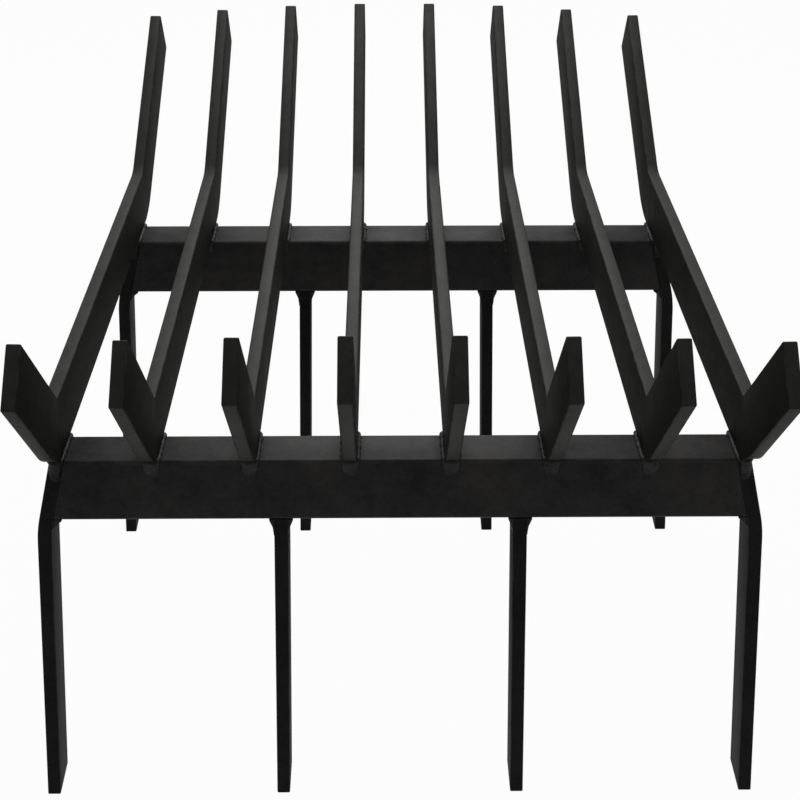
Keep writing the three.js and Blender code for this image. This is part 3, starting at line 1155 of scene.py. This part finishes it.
@dataclass(frozen=True)
class PaintFinish:
    """Black high-heat paint as it lies on one kind of piece."""

    slot: str
    thin: Colour
    thick: Colour
    least_rough: float
    most_rough: float
    peel: float = 1.0
    pits: float = 1.0
    # Strength of the lighter edge lines: worn paint and a painted edge highlight.
    rub_and_highlight: float = 0.5
    dust: float = 0.0
    dust_reach: float = 0.03
    relief: float = 0.00012
    broad_roughness: float = 0.0
    coat: float = 0.0
    edge_coat: float = 0.0
    # How strongly the painted shade at welds' edges and lower ends is laid on.
    weld_shade: float = 0.0
    index: float = 1.10
    coat_index: float = 1.3
    coat_roughness: float = 0.38
    coat_shares: tuple[float, float] = (0.4, 0.6)
    rub_polish: float = 0.15
    # Colour of the edge lines: worn paint, made lighter as a painted edge highlight.
    wear_and_highlight: Colour = (0.095, 0.091, 0.085)
    ash: Colour = (0.060, 0.057, 0.052)
    # Near-black colour of the painted shade at welds' edges and lower ends.
    undercut_shade: Colour = (0.003, 0.003, 0.003)

    def material(self) -> bpy.types.Material:
        """Builds the finish from the shared groups, at its first use.

        Returns:
            The finish's one material.
        """
        name = f"black_{self.slot}"
        made = bpy.data.materials.get(name)
        if made:
            return made
        made = bpy.data.materials.new(name)
        made.use_nodes = True
        wire = Wiring(made.node_tree)
        vector = wire.node("TexCoord").outputs["Object"]
        edge = wire.attribute(EDGE_MARK_ATTRIBUTE)
        narrow = wire.attribute(NARROW_ATTRIBUTE)
        # Painted shade at welds' edges and lower ends.
        weld_shade = wire.times(wire.attribute(WELD_SHADE_ATTRIBUTE), self.weld_shade)
        film = wire.shared(
            "paint_film", FilmPattern().make, Vector=vector, Peel=self.peel, Pits=self.pits
        )
        # Worn paint and a painted highlight along the rounded edges.
        rub_and_highlight = wire.shared(
            "edge_rub", worn_and_highlighted_edges, Vector=vector, Edge=edge, Amount=self.rub_and_highlight
        )["Mask"]
        dust = wire.shared(
            "hearth_dust", hearth_dust, Vector=vector, Reach=self.dust_reach, Amount=self.dust
        )["Mask"]
        bump = wire.node("Bump", Height=film["Height"], Distance=self.relief)
        shader = wire.node(
            "BsdfPrincipled",
            Base_Color=self.colour(wire, film["Tone"], rub_and_highlight, dust, weld_shade),
            Roughness=self.roughness(wire, film["Matt"], rub_and_highlight, narrow),
            Normal=bump.outputs["Normal"],
            IOR=self.index,
            Coat_Weight=self.coat_weight(wire, film["Matt"], narrow),
            Coat_IOR=self.coat_index,
            Coat_Roughness=self.coat_roughness,
        )
        wire.node("OutputMaterial", Surface=shader.outputs["BSDF"])
        return made

    def colour(self, wire: Wiring, tone: Socket, *masks: Socket) -> Socket:
        """Thick to thin paint by its tone, with what lies over it.

        Args:
            wire: The node tree that is wired.
            tone: The film's tone, from thick to thin.
            *masks: Masks of worn paint with its painted edge highlight, of dust, and of the painted
                    shade at welds.

        Returns:
            The colour's socket.
        """
        mixed = wire.mix(tone, (*self.thick, 1), (*self.thin, 1))
        for mask, over in zip(masks, (self.wear_and_highlight, self.ash, self.undercut_shade)):
            mixed = wire.mix(mask, mixed, (*over, 1))
        return mixed

    def roughness(self, wire: Wiring, matt: Socket, rub_and_highlight: Socket, narrow: Socket) -> Socket:
        """Roughness of the film, less where the edges are worn, and more on broad faces.

        Args:
            wire: The node tree that is wired.
            matt: How matt the film is.
            rub_and_highlight: The mask of worn edges with their painted highlight.
            narrow: How far a face is a bar's narrow side.

        Returns:
            The roughness's socket.
        """
        rough = wire.between(matt, self.least_rough, self.most_rough)
        rough = wire.math("SUBTRACT", rough, wire.times(rub_and_highlight, self.rub_polish))
        broad = wire.times(wire.math("SUBTRACT", 1.0, narrow), self.broad_roughness)
        return wire.math("ADD", rough, broad)

    def coat_weight(self, wire: Wiring, matt: Socket, narrow: Socket) -> Socket:
        """The clear skin's weight, higher on narrow faces, and slightly uneven."""
        coat = wire.math("ADD", wire.times(narrow, self.edge_coat), self.coat)
        return wire.times(coat, wire.between(matt, *self.coat_shares))


def dress(piece: Piece, finish: PaintFinish, node: str) -> None:
    """Shades a piece smooth across its soft edges, paints it, and lets it stand for its node.

    Args:
        piece: The piece.
        finish: Its finish.
        node: The CAD node that it replaces.
    """
    pick(piece)
    bpy.ops.object.shade_smooth_by_angle(angle=SOFT_ANGLE)
    piece.data.materials.clear()
    piece.data.materials.append(finish.material())
    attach(piece, BODY)
    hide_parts(node)
    log.info("%s stands for %s, %d faces", piece.name, node, len(piece.data.polygons))


# ---- studio ----


@dataclass(frozen=True)
class SoftBox:
    """A rectangular soft light."""

    name: str
    place: Point
    aim: Point
    size: tuple[float, float]
    power: float

    def build(self) -> None:
        """Hangs the light and turns it to its aim."""
        place = Vector(self.place)
        bpy.ops.object.light_add(type="AREA", location=place)
        lamp = bpy.context.object
        lamp.name = lamp.data.name = self.name
        lamp.data.shape = "RECTANGLE"
        lamp.data.size, lamp.data.size_y = self.size
        lamp.data.energy = self.power
        lamp.rotation_euler = (Vector(self.aim) - place).to_track_quat("-Z", "Y").to_euler()


@dataclass(frozen=True)
class Viewpoint:
    """The camera that took the picture, solved from the grate's own edges."""

    place: Point = (-0.00922, -0.92677, 0.6740)
    down: float = 0.51563
    right: float = 0.01160
    roll: float = 0.00199
    lens: float = 80.525
    sensor_width: float = 36.0

    def build(self) -> None:
        """Adds the camera and makes it the scene's."""
        camera = bpy.data.cameras.new("picture_camera")
        camera.sensor_width = self.sensor_width
        camera.lens = self.lens
        holder = bpy.data.objects.new(camera.name, camera)
        bpy.context.collection.objects.link(holder)
        turn = Matrix.Rotation(-self.right, 4, "Z")
        turn @= Matrix.Rotation(radians(90) - self.down, 4, "X")
        turn @= Matrix.Rotation(self.roll, 4, "Z")
        holder.matrix_world = Matrix.Translation(self.place) @ turn
        bpy.context.scene.camera = holder


@dataclass
class Studio:
    """A plain white floor and world, with soft light from above and behind."""

    world_light: float = 0.16
    floor_size: float = 8.0
    floor_colour: float = 0.8
    floor_glow: float = 0.97
    mirrored_glow: float = 0.85
    lamps: tuple[SoftBox, ...] = (
        SoftBox("behind", place=(0, 1.1, 0.8), aim=(0, 0, 0.2), size=(0.3, 0.3), power=1.9),
        SoftBox("overhead", place=(0, 0.6, 1.2), aim=(0, 0.1, 0.2), size=(0.4, 0.4), power=3.9),
    )

    @staticmethod
    def whiteness(wire: Wiring, seen: float, mirrored: float) -> Socket:
        """Share of plain white in what a ray meets.

        Args:
            wire: The node tree that is wired.
            seen: The share for what the camera sees.
            mirrored: The share for what a reflection or a refraction shows.

        Returns:
            The share's socket, which is 0 for light that falls on the object.
        """
        rays = wire.node("LightPath").outputs
        indirect = wire.math("MAXIMUM", rays["Is Glossy Ray"], rays["Is Transmission Ray"])
        direct = wire.times(rays["Is Camera Ray"], seen)
        return wire.math("MAXIMUM", direct, wire.times(indirect, mirrored))

    def build_world(self) -> None:
        """Makes a world that looks white but lights softly."""
        world = bpy.data.worlds.new("white_room")
        world.use_nodes = True
        bpy.context.scene.world = world
        wire = Wiring(world.node_tree)
        light = wire.node("Background", Color=WHITE, Strength=self.world_light)
        white = wire.node("Background", Color=WHITE)
        share = self.whiteness(wire, seen=1.0, mirrored=1.0)
        wire.node("OutputWorld", Surface=wire.mix_shaders(share, light, white))

    def build_floor(self) -> None:
        """Lays a pale floor that keeps a faint shadow of the grate."""
        bpy.ops.mesh.primitive_plane_add(size=self.floor_size)
        floor = bpy.context.object
        floor.name = floor.data.name = "floor"
        pale = bpy.data.materials.new("pale_floor")
        pale.use_nodes = True
        wire = Wiring(pale.node_tree)
        colour = (self.floor_colour,) * 3 + (1,)
        matt = wire.node("BsdfDiffuse", Color=colour)
        glow = wire.node("Emission", Color=WHITE)
        share = self.whiteness(wire, self.floor_glow, self.mirrored_glow)
        wire.node("OutputMaterial", Surface=wire.mix_shaders(share, matt, glow))
        floor.data.materials.append(pale)

    def build(self) -> None:
        """Sets up floor, world and lamps, with the plain view settings."""
        self.build_world()
        self.build_floor()
        for lamp in self.lamps:
            lamp.build()
        bpy.context.scene.view_settings.view_transform = "Standard"


# ---- the grate ----


BAR_PAINT = PaintFinish(
    "bar_paint", thin=(0.036, 0.0357, 0.0305), thick=(0.013, 0.0125, 0.0115),
    least_rough=0.56, most_rough=0.72, broad_roughness=0.10, edge_coat=0.85, coat_roughness=0.5,
)
RAIL_PAINT = PaintFinish(
    "rail_paint", thin=(0.070, 0.065, 0.061), thick=(0.014, 0.0137, 0.0160),
    least_rough=0.60, most_rough=0.78, coat=0.6,
)
LEG_PAINT = PaintFinish(
    "leg_paint", thin=(0.042, 0.040, 0.038), thick=(0.015, 0.015, 0.0160),
    least_rough=0.70, most_rough=0.86, dust=0.4, coat=0.15,
)
# The welds' paint, with painted shade at their edges and lower ends.
WELD_PAINT = PaintFinish(
    "weld_paint", thin=(0.115, 0.112, 0.112), thick=(0.006, 0.006, 0.007),
    least_rough=0.50, most_rough=0.72, peel=2.4, pits=1.6, rub_and_highlight=0.0, weld_shade=0.8, coat=0.7,
)


def main() -> None:
    """Builds and dresses the grate in its studio."""
    Viewpoint().build()
    plan = Plan()
    for rail in plan.rails():
        Carriage(plan, rail).build(RAIL_PAINT, LEG_PAINT, WELD_PAINT)
        log.info("carriage %s dressed", rail.name)
    GrateBars(plan).build(BAR_PAINT)
    BarWelds(plan).build(WELD_PAINT)
    Studio().build()


if __name__ == "__main__":
    logging.basicConfig(level=logging.INFO, format="%(name)s: %(message)s")
    main()
